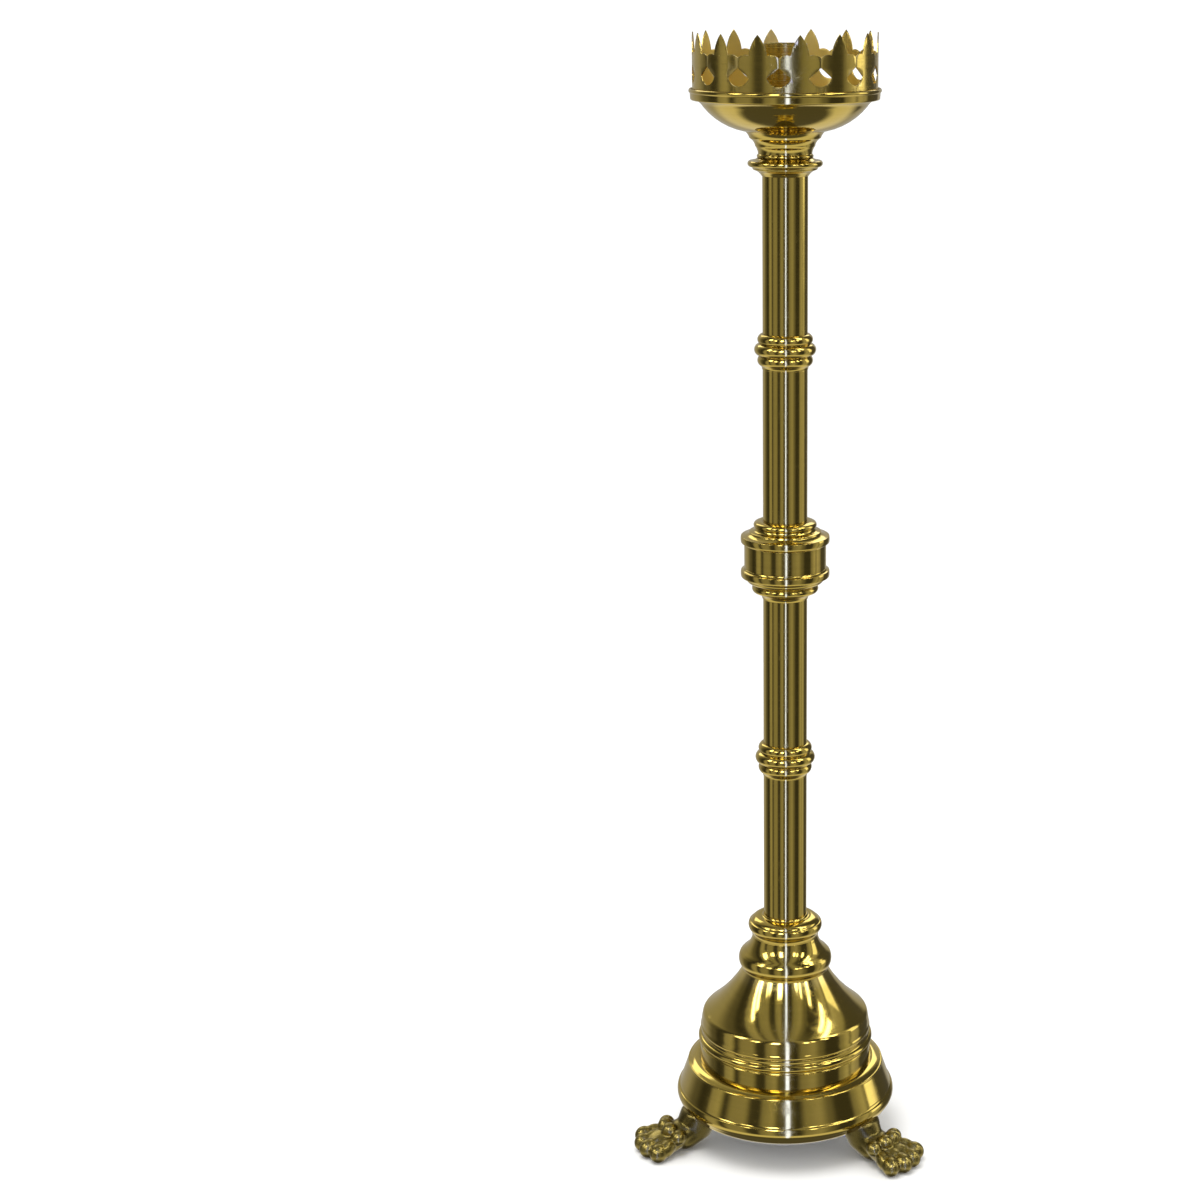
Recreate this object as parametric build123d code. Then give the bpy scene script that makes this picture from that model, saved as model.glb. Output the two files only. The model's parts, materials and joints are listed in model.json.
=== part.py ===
from build123d import *
import math
import os

# A floor-standing altar candlestick of spun, turned and cast brass.
# Millimetres, +Z up. The origin is the point of the floor under the column's axis.
# Sections are drawn as (radius, height) pairs and turned about the axis, so a piece's
# height is measured from its own lower seat and every piece stands on the one below it.

# ---- driving sizes: heights of the pieces in the stack, floor to pan ----
foot_height = 31.0
base_plate_thickness = 6.0
drum_height = 59.0
step_height = 37.0
bell_height = 75.0
neck_cup_height = 42.0
collar_height = 26.0
tube_length = 172.0
small_knop_height = 39.5
mid_cup_height = 36.0
mid_band_height = 27.5
mid_cap_height = 26.5
capital_ring_height = 19.0
capital_height = 29.0
pan_height = 45.0

# ---- driving sizes: radii ----
tube_radius = 25.0
tube_wall = 1.5
drum_rim_radius = 129.0
drum_foot_radius = 125.0
drum_top_radius = 115.0
drum_floor_radius = 113.0
drum_flange_bore = 100.0
step_radius = 101.5
bell_rim_step = 2.0
bell_neck_radius = 49.7
crown_radius = 100.0
pan_ledge_width = 11.2
pan_rim_room = 2.8
foot_reach = 190.0
base_plate_radius = 108.0

# ---- driving sizes: how far the mouldings stand out from the tube, and the pan's seat from its capital ----
neck_cup_projection = 29.7
neck_cup_waist_projection = 13.3
collar_projection = 18.2
small_knop_projection = 9.3
small_bead_projection = 5.8
mid_flange_projection = 24.8
mid_band_projection = 21.3
mid_bead_projection = 11.0
capital_ring_projection = 15.6
capital_neck_projection = 4.0
capital_top_projection = 19.2
pan_seat_border = 1.8

# ---- walls, fits and fasteners ----
drum_wall = 2.0
pan_wall = 1.5
turned_wall = 5.0
spigot_clearance = 0.1
spigot_depth = 10.0
register_depth = 6.0
register_ledge = 9.5
rod_radius = 6.0
rod_clearance = 0.5
rod_tail = 3.0
nut_across_flats = 19.0
nut_height = 10.0
washer_radius = 14.0
washer_thickness = 2.5
screw_radius = 3.0
screw_clearance = 0.3
thread_clearance = 0.05
screw_head_radius = 5.0
screw_head_height = 4.0
screw_length = 18.0
screw_tip_room = 1.0
screw_circle_radius = 93.0
screw_half_spacing = 7.0

# ---- candle socket ----
candle_radius = 22.225
candle_clearance = 0.4
socket_wall = 1.2
socket_length = 90.5
socket_skirt_step = 0.3
socket_spigot_height = 6.0
socket_floor_thickness = 2.0
socket_floor_gap = 1.5

# ---- crown ----
crown_wall = 1.2
spear_count = 14
first_spear_angle = -81.0
spear_tip_height = 69.5
spear_half_width = 9.8
spear_side_bulge = 1.8
shoulder_height = 48.0
notch_depth = 2.5
lobe_bulge = 2.0
piercing_low = 16.5
piercing_middle = 25.5
piercing_high = 36.0
piercing_half_width = 12.8
piercing_low_bulge = 2.4

# ---- feet ----
foot_angles = {"foot_front_left": 203.0, "foot_front_right": -37.0, "foot_rear": 83.0}
leg_top_radius = 113.5
leg_top_half_length = 26.0
leg_half_width = 20.0
leg_horn_height = 44.0
heel_radius = 126.0
paw_axis_height = 9.0
paw_half_width = 24.0
toe_radius = 11.0
toe_gap = 14.5
toe_setback = 4.0
knuckle_radius = 8.5
knuckle_height = 29.5
knuckle_setback = 28.0
saddle_clearance = 0.2

# a cylinder stands on its seat or hangs below it
standing = (Align.CENTER, Align.CENTER, Align.MIN)
hanging = (Align.CENTER, Align.CENTER, Align.MAX)

# ---- stack levels worked out from the heights ----
plate_level = foot_height
drum_level = plate_level + base_plate_thickness
step_level = drum_level + drum_height
bell_level = step_level + step_height
neck_cup_level = bell_level + bell_height
collar_level = neck_cup_level + neck_cup_height
tube_1_level = collar_level + collar_height
lower_knop_level = tube_1_level + tube_length
tube_2_level = lower_knop_level + small_knop_height
mid_cup_level = tube_2_level + tube_length
mid_band_level = mid_cup_level + mid_cup_height
mid_cap_level = mid_band_level + mid_band_height
tube_3_level = mid_cap_level + mid_cap_height
upper_knop_level = tube_3_level + tube_length
tube_4_level = upper_knop_level + small_knop_height
capital_ring_level = tube_4_level + tube_length
capital_level = capital_ring_level + capital_ring_height
pan_level = capital_level + capital_height
pan_floor_level = pan_level + pan_wall

# ---- radii worked out from the tube, the step and the crown ----
neck_cup_radius = tube_radius + neck_cup_projection
neck_cup_waist_radius = tube_radius + neck_cup_waist_projection
collar_radius = tube_radius + collar_projection
small_knop_radius = tube_radius + small_knop_projection
small_bead_radius = tube_radius + small_bead_projection
mid_flange_radius = tube_radius + mid_flange_projection
mid_band_radius = tube_radius + mid_band_projection
mid_bead_radius = tube_radius + mid_bead_projection
capital_ring_radius = tube_radius + capital_ring_projection
capital_neck_radius = tube_radius + capital_neck_projection
capital_top_radius = tube_radius + capital_top_projection
pan_seat_radius = capital_top_radius + pan_seat_border
pan_bowl_radius = crown_radius - pan_ledge_width
pan_rim_radius = crown_radius + pan_rim_room
bell_rim_radius = step_radius - bell_rim_step
register_bore = step_radius - register_ledge

# ---- radii worked out from the fits ----
tube_bore = tube_radius - tube_wall
tube_spigot = tube_bore - spigot_clearance
column_bore = tube_spigot - turned_wall
rod_hole = rod_radius + rod_clearance
socket_bore = candle_radius + candle_clearance
socket_radius = socket_bore + socket_wall
skirt_bore = socket_bore + socket_skirt_step
skirt_height = socket_spigot_height + nut_height + rod_tail + socket_floor_gap + socket_floor_thickness
register_radius = register_bore - spigot_clearance
collar_spigot = neck_cup_waist_radius - turned_wall - spigot_clearance
mid_band_bore = mid_band_radius - turned_wall / 2


def outline(points):
    """Joins (radius, height, bulge) points. A bulge is an arc's rise, to the right of the way it runs."""
    edges = []
    for start, end in zip(points, points[1:]):
        if len(end) > 2 and end[2]:
            edges.append(SagittaArc(start[:2], end[:2], -end[2]))
        else:
            edges.append(Line(start[:2], end[:2]))
    return edges


def turned(points, level=0.0):
    """A solid of revolution from a closed section, with its lower seat at the level."""
    edges = outline(points)
    edges.append(Line(points[-1][:2], points[0][:2]))
    section = Plane.XZ * make_face(edges)
    return Pos(0, 0, level) * revolve(section, Axis.Z, 360)


def inner_outline(points, wall):
    """The same outline moved in by the wall. Beads tighter than the wall can follow are left straight."""
    steps = [Vector(b[0] - a[0], b[1] - a[1]).normalized() for a, b in zip(points, points[1:])]
    moved = []
    for index, point in enumerate(points):
        before = steps[max(index - 1, 0)]
        after = steps[min(index, len(steps) - 1)]
        along = (before + after).normalized()
        miter = wall / max(along.dot(after), 0.5)
        bulge = point[2] if len(point) > 2 else 0.0
        if bulge and index:
            chord = math.dist(point[:2], points[index - 1][:2])
            bulge = bulge if chord * chord / (8 * abs(bulge)) > 4 * wall else 0.0
        moved.append((point[0] - along.Y * miter, point[1] + along.X * miter, bulge))
    return moved


def spun(points, wall, level=0.0):
    """A shell of sheet metal: an outline, its inner side, and the two edges between them."""
    inner = inner_outline(points, wall)
    back = [inner[-1][:2]]
    for index in range(len(inner) - 1, 0, -1):
        back.append((inner[index - 1][0], inner[index - 1][1], -inner[index][2]))
    return turned(list(points) + back, level)


def ring(outer, bore, height, level=0.0):
    """A plain turned ring or disc."""
    return turned([(bore, 0), (outer, 0), (outer, height), (bore, height)], level)


def around(shape, angle):
    """Turns a shape about the column's axis."""
    return Rot(0, 0, angle) * shape


# ---- base ----
def base_plate():
    plate = ring(base_plate_radius, rod_hole, base_plate_thickness, plate_level)
    hole = Cylinder(screw_radius + screw_clearance, 3 * base_plate_thickness)
    return plate - [Pos(x, y, plate_level) * hole for x, y in screw_places()]


def drum_skirt():
    """The drum's outer side from its floor to the top of its rounded rim."""
    return [
        (drum_floor_radius, 0),
        (drum_rim_radius - 3.5, 8.5, 2.4),
        (drum_rim_radius - 1.5, 23.0, 2.4),
    ]


def base_drum():
    ledge_rise = 4.0
    points = [
        (drum_flange_bore, 0),
        *drum_skirt(),
        (drum_foot_radius, 26.5, -0.6),
        (drum_top_radius + 0.8, drum_height - ledge_rise - 2.0),
        (drum_top_radius - 1.2, drum_height - ledge_rise, 0.8),
        (step_radius + 3.0, drum_height, 0.6),
        (register_bore, drum_height),
    ]
    return spun(points, drum_wall, drum_level)


def base_step():
    bead_low = 22.5
    bead_high = 31.0
    points = [
        (register_radius, -register_depth),
        (register_radius, 0),
        (step_radius, 0),
        (step_radius - 0.6, bead_low - 3.0),
        (step_radius - 1.5, bead_low, -0.8),
        (step_radius - 1.5, bead_high, 3.0),
        (bell_rim_radius, bead_high + 3.0, -0.5),
        (bell_rim_radius, step_height),
        (register_bore, step_height),
    ]
    return spun(points, drum_wall, step_level)


def base_bell():
    bead_height = 6.0
    shoulder = (bell_rim_radius - 5.5, 23.4)
    points = [
        (register_radius, -register_depth),
        (register_radius, 0),
        (bell_rim_radius, 0),
        (bell_rim_radius, bead_height, 0.9),
        (bell_rim_radius - 1.6, 17.3, 0.3),
        (*shoulder, 0.9),
        (bell_neck_radius, bell_height, -3.4),
    ]
    return spun(points, drum_wall, bell_level)


def neck_cup():
    bell_bore = bell_neck_radius - drum_wall - spigot_clearance
    bore = neck_cup_waist_radius - turned_wall
    points = [
        (bore, -spigot_depth),
        (bell_bore - 1.0, -spigot_depth),
        (bell_bore - 1.0, 0),
        (bell_neck_radius + 0.8, 0),
        (neck_cup_radius - 2.2, 5.0, -0.6),
        (neck_cup_radius - 1.6, 19.5, 1.9),
        (neck_cup_radius - 3.8, 22.0),
        (neck_cup_waist_radius, neck_cup_height, -2.6),
        (bore, neck_cup_height),
    ]
    return turned(points, neck_cup_level)


def base_collar():
    points = [
        (column_bore, -spigot_depth),
        (collar_spigot, -spigot_depth),
        (collar_spigot, 0),
        (neck_cup_waist_radius + 0.6, 0),
        (collar_radius - 1.8, 7.5, -0.7),
        (collar_radius - 1.4, 17.5, 1.6),
        (collar_radius - 4.2, 20.0, -0.5),
        (tube_radius + 3.5, 24.0, 1.2),
        (tube_radius + 0.5, collar_height, -0.6),
        (tube_spigot, collar_height),
        (tube_spigot, collar_height + spigot_depth),
        (column_bore, collar_height + spigot_depth),
    ]
    return turned(points, collar_level)


# ---- column ----
def column_tube(level):
    return ring(tube_radius, tube_bore, tube_length, level)


def small_knop(level):
    """Three beads, the middle one largest, with a spigot into the tube below and the tube above."""
    end_radius = tube_radius + 0.6
    outer_bead = (5.0, 15.0)
    middle_bead = (16.5, 27.5)
    upper_bead = (29.0, 37.5)
    points = [
        (column_bore, -spigot_depth),
        (tube_spigot, -spigot_depth),
        (tube_spigot, 0),
        (end_radius, 0),
        (small_bead_radius - 2.2, outer_bead[0], -0.9),
        (small_bead_radius - 2.2, outer_bead[1], 2.2),
        (small_knop_radius - 2.8, middle_bead[0]),
        (small_knop_radius - 2.8, middle_bead[1], 2.8),
        (small_bead_radius - 1.8, upper_bead[0]),
        (small_bead_radius - 1.8, upper_bead[1], 1.8),
        (end_radius, small_knop_height, 0.4),
        (tube_spigot, small_knop_height),
        (tube_spigot, small_knop_height + spigot_depth),
        (column_bore, small_knop_height + spigot_depth),
    ]
    return turned(points, level)


def mid_knop_cup():
    flange_low = 26.0
    points = [
        (column_bore, -spigot_depth),
        (tube_spigot, -spigot_depth),
        (tube_spigot, 0),
        (tube_radius + 1.0, 0),
        (tube_radius + 6.5, 6.5, -1.2),
        (mid_bead_radius, 8.5),
        (mid_bead_radius, 15.5, 1.6),
        (mid_bead_radius + 2.0, 18.0),
        (mid_bead_radius + 7.6, 21.5, 0.8),
        (mid_flange_radius - 3.0, flange_low - 1.5, -0.9),
        (mid_flange_radius, flange_low),
        (mid_flange_radius, mid_cup_height - 2.5, 0.5),
        (mid_band_radius + 0.4, mid_cup_height, -0.6),
        (mid_band_bore - spigot_clearance, mid_cup_height),
        (mid_band_bore - spigot_clearance, mid_cup_height + register_depth),
        (mid_band_bore - turned_wall, mid_cup_height + register_depth),
        (mid_band_bore - turned_wall, flange_low),
        (column_bore, flange_low - 10.0),
    ]
    return turned(points, mid_cup_level)


def mid_knop_band():
    return ring(mid_band_radius, mid_band_bore, mid_band_height, mid_band_level)


def mid_knop_cap():
    flange_high = 9.5
    points = [
        (mid_band_bore - turned_wall, -register_depth),
        (mid_band_bore - spigot_clearance, -register_depth),
        (mid_band_bore - spigot_clearance, 0),
        (mid_band_radius + 0.4, 0),
        (mid_flange_radius, 2.0, -0.5),
        (mid_flange_radius, flange_high, 0.5),
        (mid_bead_radius + 5.0, flange_high + 3.5, -0.8),
        (mid_bead_radius + 4.6, flange_high + 5.0),
        (mid_bead_radius + 2.0, flange_high + 6.0),
        (mid_bead_radius - 2.0, mid_cap_height - 7.5, -0.9),
        (mid_bead_radius - 2.0, mid_cap_height - 1.5, 1.6),
        (tube_radius + 0.8, mid_cap_height, 0.6),
        (tube_spigot, mid_cap_height),
        (tube_spigot, mid_cap_height + spigot_depth),
        (column_bore, mid_cap_height + spigot_depth),
        (column_bore, flange_high + 6.0),
        (mid_band_bore - turned_wall, flange_high - 4.0),
    ]
    return turned(points, mid_cap_level)


# ---- head ----
def capital_ring():
    points = [
        (column_bore, -spigot_depth),
        (tube_spigot, -spigot_depth),
        (tube_spigot, 0),
        (tube_radius + 0.6, 0),
        (capital_ring_radius - 6.6, 6.5, -1.0),
        (capital_ring_radius - 5.0, 8.5, 0.5),
        (capital_ring_radius - 2.0, 10.0, -0.4),
        (capital_ring_radius - 1.8, 16.5, 2.2),
        (capital_neck_radius + 1.8, capital_ring_height, -0.8),
        (column_bore, capital_ring_height),
    ]
    return turned(points, capital_ring_level)


def capital():
    web = 6.0
    bead_high = 4.5
    spigot = column_bore - spigot_clearance
    points = [
        (spigot - turned_wall, -spigot_depth),
        (spigot, -spigot_depth),
        (spigot, 0),
        (capital_neck_radius + 0.4, 0),
        (capital_neck_radius + 0.4, bead_high, 1.4),
        (capital_neck_radius + 3.6, 13.0, -0.7),
        (capital_top_radius - 7.0, 20.5, -0.9),
        (capital_top_radius - 5.4, 21.5),
        (capital_top_radius, capital_height, -0.8),
        (rod_hole, capital_height),
        (rod_hole, capital_height - web),
        (spigot - turned_wall, capital_height - web),
    ]
    return turned(points, capital_level)


def pan_outline():
    ledge = 33.0
    return [
        (rod_hole, 0),
        (pan_seat_radius, 0),
        (pan_bowl_radius, 26.0, 4.4),
        (pan_bowl_radius + 8.5, ledge, -1.0),
        (crown_radius + 1.2, ledge),
        (pan_rim_radius - 0.5, ledge + 1.8, 0.3),
        (pan_rim_radius - 0.1, pan_height - 4.5),
        (pan_rim_radius, pan_height, 1.3),
    ]


def drip_pan():
    return spun(pan_outline(), pan_wall, pan_level)


def socket_spigot():
    """The disc that the nut clamps to the pan, and that the candle socket drops over."""
    return ring(skirt_bore - spigot_clearance, rod_hole, socket_spigot_height, pan_floor_level)


def rod_nut_level():
    return pan_floor_level + socket_spigot_height


def candle_socket():
    """A plain tube whose skirt is bored a little wider, up to the shoulder that its floor is brazed to."""
    points = [
        (skirt_bore, 0),
        (socket_radius, 0),
        (socket_radius, socket_length),
        (socket_bore, socket_length),
        (socket_bore, skirt_height),
        (skirt_bore, skirt_height),
    ]
    return turned(points, pan_floor_level)


def socket_floor():
    """The disc that a candle stands on, over the nut."""
    level = pan_floor_level + skirt_height - socket_floor_thickness
    return Pos(0, 0, level) * Cylinder(skirt_bore, socket_floor_thickness, align=standing)


def crown_level():
    return pan_level + pan_outline()[4][1] + pan_wall


def crown_gap():
    """The space between two spears, down to a pair of lobes with a notch between them."""
    half_pitch = crown_radius * math.sin(math.pi / spear_count)
    side = half_pitch - spear_half_width
    top = spear_tip_height + 5.0
    points = [
        (-half_pitch, spear_tip_height),
        (-side, shoulder_height, -spear_side_bulge),
        (0, shoulder_height - notch_depth, -lobe_bulge),
        (side, shoulder_height, -lobe_bulge),
        (half_pitch, spear_tip_height, -spear_side_bulge),
        (half_pitch, top),
        (-half_pitch, top),
        (-half_pitch, spear_tip_height),
    ]
    return make_face(outline(points))


def crown_piercing():
    """A curved diamond, fuller below than above."""
    points = [
        (-piercing_half_width, piercing_middle),
        (0, piercing_low, piercing_low_bulge),
        (piercing_half_width, piercing_middle, piercing_low_bulge),
        (0, piercing_high),
        (-piercing_half_width, piercing_middle),
    ]
    return make_face(outline(points))


def crown():
    """A band of sheet cut into spears and set on the pan's ledge, a spear at the first angle."""
    band = ring(crown_radius, crown_radius - crown_wall, spear_tip_height)
    reach = 10 * crown_wall
    facing = Plane(origin=(crown_radius - reach, 0, 0), x_dir=(0, 1, 0), z_dir=(1, 0, 0))
    cutters = []
    for index in range(spear_count):
        angle = first_spear_angle + (index + 0.5) * 360 / spear_count
        for face in (crown_gap(), crown_piercing()):
            cutters.append(around(extrude(facing * face, 2 * reach), angle))
    return Pos(0, 0, crown_level()) * (band - cutters)


# ---- tie rod and its fasteners ----
def rod_bottom():
    return plate_level - washer_thickness - nut_height - rod_tail


def tie_rod():
    length = rod_nut_level() + nut_height + rod_tail - rod_bottom()
    return Pos(0, 0, rod_bottom()) * Cylinder(rod_radius, length, align=standing)


def hex_nut(level):
    flats = RegularPolygon(nut_across_flats / 2, 6, major_radius=False)
    blank = extrude(flats, nut_height)
    bore = Cylinder(rod_radius + thread_clearance, 3 * nut_height)
    return Pos(0, 0, level) * (blank - bore)


def rod_washer():
    return ring(washer_radius, rod_hole, washer_thickness, plate_level - washer_thickness)


# ---- feet ----
def screw_places():
    """Two screws for each foot, either side of its leg."""
    places = []
    for angle in foot_angles.values():
        for side in (-screw_half_spacing, screw_half_spacing):
            place = Vector(screw_circle_radius, side, 0).rotate(Axis.Z, angle)
            places.append((place.X, place.Y))
    return places


def foot_screws():
    head_level = plate_level + base_plate_thickness
    head = Cylinder(screw_head_radius, screw_head_height, align=standing)
    shank = Cylinder(screw_radius, screw_length, align=hanging)
    screw = head + shank
    return Compound([Pos(x, y, head_level) * screw for x, y in screw_places()])


def leg():
    """The leg, from its horn outside the drum, past its lug under the base plate, down to the heel."""
    sections = (
        (leg_horn_height, leg_top_radius + 5.0, leg_top_half_length - 12.5, leg_half_width + 2.0),
        (foot_height, leg_top_radius, leg_top_half_length, leg_half_width),
        (0.58 * foot_height, leg_top_radius, leg_top_half_length - 2.0, leg_half_width - 2.5),
        (0.0, heel_radius, leg_top_half_length - 11.0, leg_half_width - 4.0),
    )
    faces = [Pos(radius, 0, height) * Ellipse(length, width) for height, radius, length, width in sections]
    return loft(faces) - saddle()


def saddle():
    """The room that a leg leaves for the base plate and for the drum that it carries."""
    plate_room = Pos(0, 0, foot_height) * Cylinder(
        base_plate_radius + saddle_clearance, leg_horn_height, align=standing
    )
    skirt = [(radius + saddle_clearance, height, *bulge) for radius, height, *bulge in drum_skirt()]
    drum_room = turned([(0, 0), *skirt, (0, skirt[-1][1])], drum_level - saddle_clearance)
    return plate_room + drum_room


def paw():
    """The paw's body, round about its own level axis, from the heel to the toes."""
    back = heel_radius - 12.0
    front = foot_reach - toe_radius
    body = [
        (back, 0),
        (back, 0.45 * paw_half_width),
        (heel_radius + 0.3 * (front - heel_radius), paw_half_width, -2.0),
        (front - 8.0, 0.8 * paw_half_width, -1.5),
        (front, 0, -4.0),
    ]
    section = Plane.XZ * make_face(outline(body) + [Line(body[-1][:2], body[0][:2])])
    return Pos(0, 0, paw_axis_height) * revolve(section, Axis.X, 360)


def toes():
    """Four toes round the front of the paw and a knuckle behind each."""
    lumps = []
    for place in (-1.5, -0.5, 0.5, 1.5):
        side = place * toe_gap
        setback = toe_setback * (abs(place) - 0.5)
        front = foot_reach - toe_radius - setback
        lumps.append(Pos(front, side, toe_radius) * Sphere(toe_radius))
        knuckle_place = Pos(front - knuckle_setback, 0.85 * side, knuckle_height - setback)
        lumps.append(knuckle_place * Sphere(knuckle_radius))
    return lumps


def foot(angle):
    """One cast paw foot, flat below, with two tapped holes in its top."""
    cast = leg() + paw() + toes()
    outward = (Align.MIN, Align.CENTER, Align.MIN)
    cast = cast & Box(2 * foot_reach, 4 * paw_half_width, 4 * foot_height, align=outward)
    thread_depth = screw_length - base_plate_thickness + screw_tip_room
    tapped = Cylinder(screw_radius + thread_clearance, thread_depth, align=hanging)
    for side in (-screw_half_spacing, screw_half_spacing):
        cast -= Pos(screw_circle_radius, side, foot_height) * tapped
    return around(cast, angle)


# ---- every node ----
def nodes():
    made = {name: foot(angle) for name, angle in foot_angles.items()}
    made["foot_screws"] = foot_screws()
    made["base_plate"] = base_plate()
    made["base_drum"] = base_drum()
    made["base_step"] = base_step()
    made["base_bell"] = base_bell()
    made["neck_cup"] = neck_cup()
    made["base_collar"] = base_collar()
    levels = (tube_1_level, tube_2_level, tube_3_level, tube_4_level)
    for number, level in enumerate(levels, 1):
        made[f"column_tube_{number}"] = column_tube(level)
    made["small_knop_lower"] = small_knop(lower_knop_level)
    made["mid_knop_cup"] = mid_knop_cup()
    made["mid_knop_band"] = mid_knop_band()
    made["mid_knop_cap"] = mid_knop_cap()
    made["small_knop_upper"] = small_knop(upper_knop_level)
    made["capital_ring"] = capital_ring()
    made["capital"] = capital()
    made["drip_pan"] = drip_pan()
    made["socket_spigot"] = socket_spigot()
    made["candle_socket"] = candle_socket()
    made["socket_floor"] = socket_floor()
    made["crown"] = crown()
    made["tie_rod"] = tie_rod()
    made["rod_nut_top"] = hex_nut(rod_nut_level())
    made["rod_nut_bottom"] = hex_nut(plate_level - washer_thickness - nut_height)
    made["rod_washer"] = rod_washer()
    return made


os.makedirs("parts", exist_ok=True)
for name, shape in nodes().items():
    export_step(shape, f"parts/{name}.step")
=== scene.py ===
# %% [markdown]
# # An altar candlestick in brass
#
# The real object is a stack of brass pieces on one steel rod: three cast paw feet, a spun
# drum, step and bell, turned mouldings, four lengths of tube, a spun pan, a tube socket and
# a sawn sheet crown. The frame is the CAD model. Every piece made below goes where the frame
# says, and stands for one of its nodes.

# %% load the frame
import bmesh
import bpy
import json
import math
from mathutils import Matrix, Vector


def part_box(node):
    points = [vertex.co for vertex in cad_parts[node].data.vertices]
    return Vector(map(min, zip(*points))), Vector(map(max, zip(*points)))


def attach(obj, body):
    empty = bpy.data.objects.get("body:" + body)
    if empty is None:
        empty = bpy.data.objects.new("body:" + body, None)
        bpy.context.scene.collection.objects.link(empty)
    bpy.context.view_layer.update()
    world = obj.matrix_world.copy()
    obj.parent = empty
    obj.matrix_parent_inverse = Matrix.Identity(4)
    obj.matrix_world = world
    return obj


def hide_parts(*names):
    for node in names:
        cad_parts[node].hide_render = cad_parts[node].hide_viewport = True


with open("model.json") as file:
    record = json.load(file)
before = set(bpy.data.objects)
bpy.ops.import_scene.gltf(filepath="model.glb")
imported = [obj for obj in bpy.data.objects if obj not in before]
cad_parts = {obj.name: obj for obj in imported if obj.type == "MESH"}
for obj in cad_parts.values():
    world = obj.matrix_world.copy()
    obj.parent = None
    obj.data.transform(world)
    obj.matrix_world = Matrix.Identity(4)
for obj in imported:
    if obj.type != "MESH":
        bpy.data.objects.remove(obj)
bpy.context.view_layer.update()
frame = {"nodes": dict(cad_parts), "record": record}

MM = 0.001
scene = bpy.context.scene

# %% [markdown]
# ## The camera
#
# The stand is seen from a little above its own top, from about two of its heights away, so the
# pan is seen almost from the side and the base from above. The lens is a short telephoto. A
# sideways shift puts the stand right of the middle without turning the camera.

# %% place the camera
view_distance = 2.657
view_height = 1.370
view_tilt = math.radians(15.03)
lens_length = 72.7
side_shift = -0.1543
camera = bpy.data.objects.new("camera", bpy.data.cameras.new("camera"))
camera.location = (0, -view_distance, view_height)
camera.rotation_euler = (math.pi / 2 - view_tilt, 0, 0)
camera.data.lens = lens_length
camera.data.shift_x = side_shift
scene.collection.objects.link(camera)
scene.camera = camera
print("camera", tuple(round(value, 3) for value in camera.location))

# %% [markdown]
# ## The floor and the room that the brass mirrors
#
# Polished brass has no colour of its own to show without something to mirror. The floor is a
# plain pale sweep that the camera sees and the brass doesn't, and the world is a plain pale
# studio with a second face for mirrored rays: walls in tall soft panels of light and shade, the
# way a workshop full of shelves and windows looks in a tube. Lamps alone could give the
# highlights, but not the dark bars between them that make metal look like metal.

# %% first helpers and the pale floor
def node_tree(material):
    """The material's own node tree, emptied."""
    material.use_nodes = True
    material.node_tree.nodes.clear()
    return material.node_tree


def add(tree, kind, **settings):
    """Adds a node and sets its properties, and its inputs where the name is an input's."""
    node = tree.nodes.new(kind)
    for name, value in settings.items():
        if name in node.inputs and not hasattr(node, name):
            node.inputs[name].default_value = value
        else:
            setattr(node, name, value)
    return node


floor_half = 6.0
floor_white = (0.93, 0.93, 0.92, 1)
floor_mesh = bmesh.new()
bmesh.ops.create_grid(floor_mesh, x_segments=8, y_segments=8, size=floor_half)
floor_data = bpy.data.meshes.new("studio_floor")
floor_mesh.to_mesh(floor_data)
floor_mesh.free()
floor = bpy.data.objects.new("studio_floor", floor_data)
scene.collection.objects.link(floor)
floor.visible_glossy = False
floor_paint = bpy.data.materials.new("pale_floor")
tree = node_tree(floor_paint)
paint = add(tree, "ShaderNodeBsdfPrincipled")
paint.inputs["Base Color"].default_value = floor_white
paint.inputs["Roughness"].default_value = 0.8
paint.inputs["Specular IOR Level"].default_value = 0.1
output = add(tree, "ShaderNodeOutputMaterial")
tree.links.new(paint.outputs[0], output.inputs[0])
floor_data.materials.append(floor_paint)

# %% helpers for node trees
def math_node(tree, operation, a, b=None, c=None):
    """A math node. Each operand is a number or an output socket."""
    node = add(tree, "ShaderNodeMath", operation=operation)
    for index, value in enumerate((a, b, c)):
        if value is None:
            continue
        if isinstance(value, (int, float)):
            node.inputs[index].default_value = value
        else:
            tree.links.new(value, node.inputs[index])
    return node.outputs[0]


def map_range(tree, value, low, high, to_low=0.0, to_high=1.0):
    """A smooth step from one range to another. The range may run downwards."""
    node = add(tree, "ShaderNodeMapRange")
    node.interpolation_type = "SMOOTHSTEP"
    tree.links.new(value, node.inputs["Value"])
    ends = {"From Min": low, "From Max": high, "To Min": to_low, "To Max": to_high}
    for name, number in ends.items():
        node.inputs[name].default_value = number
    return node.outputs["Result"]


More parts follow.
